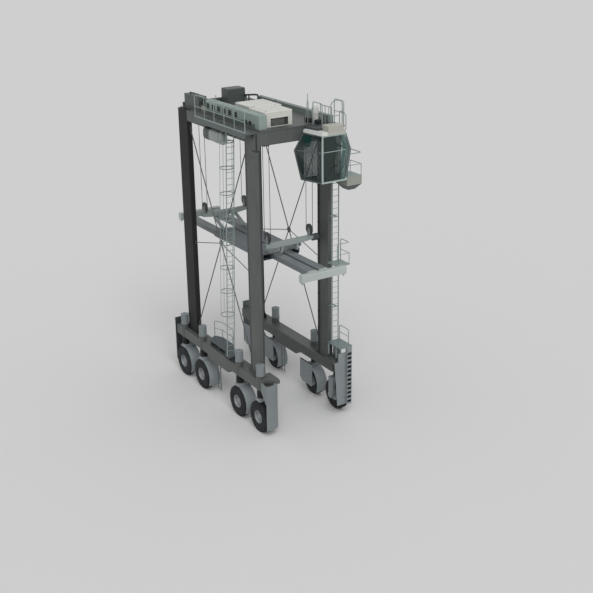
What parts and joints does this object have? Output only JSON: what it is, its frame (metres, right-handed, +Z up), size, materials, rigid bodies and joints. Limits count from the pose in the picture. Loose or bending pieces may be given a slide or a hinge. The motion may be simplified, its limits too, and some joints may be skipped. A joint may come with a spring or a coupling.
{
  "type": "straddle carrier",
  "caption": "Tall wheeled portal machine that straddles a shipping container, with a hoisted telescopic spreader, a glazed cab at the front and steered wheels on both side beams.",
  "frame": {"origin": "on the ground under the middle of the wheelbase, midway between the two side beams", "axes": "+X forwards, towards the cab end; +Y to the left side; +Z up"},
  "size_m": [12.285, 5.803, 16.0898],
  "materials": {
    "tyre": "matt rubber",
    "rim": "satin grey paint",
    "grey_paint": "satin grey paint",
    "light_paint": "satin light grey paint",
    "white_paint": "gloss white paint",
    "cab_frame": "satin light frame",
    "glass": "green tinted glass",
    "seat": "dark seat",
    "rope": "greased steel rope",
    "machinery": "satin grey paint",
    "spreader_paint": "satin blue-grey paint",
    "rail_paint": "satin teal-grey paint",
    "dark_paint": "satin charcoal paint"
  },
  "bodies": {
    "frame": {"balcony": "rail_paint", "cab_glass": "glass", "cab_roof": "white_paint", "cab_seat": "seat", "cab_shell": "cab_frame", "cabinets": "dark_paint", "column_front_left": "dark_paint", "column_front_right": "dark_paint", "column_rear_left": "dark_paint", "column_rear_right": "dark_paint", "cross_beam_front": "dark_paint", "cross_beam_rear": "dark_paint", "engine_block": "machinery", "fluid_tank": "machinery", "hoist_winch": "machinery", "ladder_left": "rail_paint", "ladder_right": "rail_paint", "leg_housings": "light_paint", "lower_platforms": "rail_paint", "machine_house": "white_paint", "machinery_deck": "dark_paint", "service_rails": "rail_paint", "side_beam_left": "dark_paint", "side_beam_right": "dark_paint", "side_bracing": "dark_paint", "step_guard_left": "light_paint", "top_beam_left": "dark_paint", "top_beam_right": "dark_paint", "walkway_right": "rail_paint", "wheel_guards": "light_paint"},
    "steer_r1": {"leg_r1": "grey_paint"},
    "wheel_r1": {"rim_r1": "rim", "tyre_r1": "tyre"},
    "steer_r2": {"leg_r2": "grey_paint"},
    "wheel_r2": {"rim_r2": "rim", "tyre_r2": "tyre"},
    "steer_r3": {"leg_r3": "grey_paint"},
    "wheel_r3": {"rim_r3": "rim", "tyre_r3": "tyre"},
    "steer_r4": {"leg_r4": "grey_paint"},
    "wheel_r4": {"rim_r4": "rim", "tyre_r4": "tyre"},
    "steer_l1": {"leg_l1": "grey_paint"},
    "wheel_l1": {"rim_l1": "rim", "tyre_l1": "tyre"},
    "steer_l2": {"leg_l2": "grey_paint"},
    "wheel_l2": {"rim_l2": "rim", "tyre_l2": "tyre"},
    "steer_l3": {"leg_l3": "grey_paint"},
    "wheel_l3": {"rim_l3": "rim", "tyre_l3": "tyre"},
    "steer_l4": {"leg_l4": "grey_paint"},
    "wheel_l4": {"rim_l4": "rim", "tyre_l4": "tyre"},
    "spreader": {"spreader_frame": "spreader_paint", "head_beams": "spreader_paint", "hoist_ropes": "rope"},
    "telescope_front": {"spreader_end_front": "spreader_paint"},
    "telescope_rear": {"spreader_end_rear": "spreader_paint"},
    "door": {"cab_door": "cab_frame"}
  },
  "joints": [
    {"name": "steering_r1", "type": "hinge", "parent": "frame", "child": "steer_r1", "pos_m": [3.94, -2.25, 2], "axis": [0, 0, 1], "range_deg": [-22, 22]},
    {"name": "wheel_spin_r1", "type": "hinge", "parent": "steer_r1", "child": "wheel_r1", "pos_m": [3.94, -2.25, 0.8], "axis": [0, 1, 0], "continuous": true},
    {"name": "steering_r2", "type": "hinge", "parent": "frame", "child": "steer_r2", "pos_m": [1.91, -2.25, 2], "axis": [0, 0, 1], "range_deg": [-11, 11]},
    {"name": "wheel_spin_r2", "type": "hinge", "parent": "steer_r2", "child": "wheel_r2", "pos_m": [1.91, -2.25, 0.8], "axis": [0, 1, 0], "continuous": true},
    {"name": "steering_r3", "type": "hinge", "parent": "frame", "child": "steer_r3", "pos_m": [-1.91, -2.25, 2], "axis": [0, 0, 1], "range_deg": [-11, 11]},
    {"name": "wheel_spin_r3", "type": "hinge", "parent": "steer_r3", "child": "wheel_r3", "pos_m": [-1.91, -2.25, 0.8], "axis": [0, 1, 0], "continuous": true},
    {"name": "steering_r4", "type": "hinge", "parent": "frame", "child": "steer_r4", "pos_m": [-3.94, -2.25, 2], "axis": [0, 0, 1], "range_deg": [-22, 22]},
    {"name": "wheel_spin_r4", "type": "hinge", "parent": "steer_r4", "child": "wheel_r4", "pos_m": [-3.94, -2.25, 0.8], "axis": [0, 1, 0], "continuous": true},
    {"name": "steering_l1", "type": "hinge", "parent": "frame", "child": "steer_l1", "pos_m": [3.94, 2.25, 2], "axis": [0, 0, 1], "range_deg": [-22, 22]},
    {"name": "wheel_spin_l1", "type": "hinge", "parent": "steer_l1", "child": "wheel_l1", "pos_m": [3.94, 2.25, 0.8], "axis": [0, 1, 0], "continuous": true},
    {"name": "steering_l2", "type": "hinge", "parent": "frame", "child": "steer_l2", "pos_m": [1.91, 2.25, 2], "axis": [0, 0, 1], "range_deg": [-11, 11]},
    {"name": "wheel_spin_l2", "type": "hinge", "parent": "steer_l2", "child": "wheel_l2", "pos_m": [1.91, 2.25, 0.8], "axis": [0, 1, 0], "continuous": true},
    {"name": "steering_l3", "type": "hinge", "parent": "frame", "child": "steer_l3", "pos_m": [-1.91, 2.25, 2], "axis": [0, 0, 1], "range_deg": [-11, 11]},
    {"name": "wheel_spin_l3", "type": "hinge", "parent": "steer_l3", "child": "wheel_l3", "pos_m": [-1.91, 2.25, 0.8], "axis": [0, 1, 0], "continuous": true},
    {"name": "steering_l4", "type": "hinge", "parent": "frame", "child": "steer_l4", "pos_m": [-3.94, 2.25, 2], "axis": [0, 0, 1], "range_deg": [-22, 22]},
    {"name": "wheel_spin_l4", "type": "hinge", "parent": "steer_l4", "child": "wheel_l4", "pos_m": [-3.94, 2.25, 0.8], "axis": [0, 1, 0], "continuous": true},
    {"name": "hoist", "type": "slide", "parent": "frame", "child": "spreader", "axis": [0, 0, 1], "range_m": [-5.6, 3.1], "deforming": ["hoist_ropes"]},
    {"name": "telescope_front", "type": "slide", "parent": "spreader", "child": "telescope_front", "axis": [1, 0, 0], "range_m": [-3.066, 0]},
    {"name": "telescope_rear", "type": "slide", "parent": "spreader", "child": "telescope_rear", "axis": [1, 0, 0], "range_m": [0, 3.066]},
    {"name": "cab_door_hinge", "type": "hinge", "parent": "frame", "child": "door", "pos_m": [4.562, 2.242, 13.68], "axis": [0, 0, 1], "range_deg": [-95, 0]}
  ],
  "couplings": [
    {"joint": "steering_r2", "follows": "steering_r1", "ratio": 0.5},
    {"joint": "steering_r3", "follows": "steering_r1", "ratio": -0.5},
    {"joint": "steering_r4", "follows": "steering_r1", "ratio": -1},
    {"joint": "steering_l1", "follows": "steering_r1", "ratio": 1},
    {"joint": "steering_l2", "follows": "steering_r1", "ratio": 0.5},
    {"joint": "steering_l3", "follows": "steering_r1", "ratio": -0.5},
    {"joint": "steering_l4", "follows": "steering_r1", "ratio": -1},
    {"joint": "telescope_rear", "follows": "telescope_front", "ratio": -1}
  ]
}
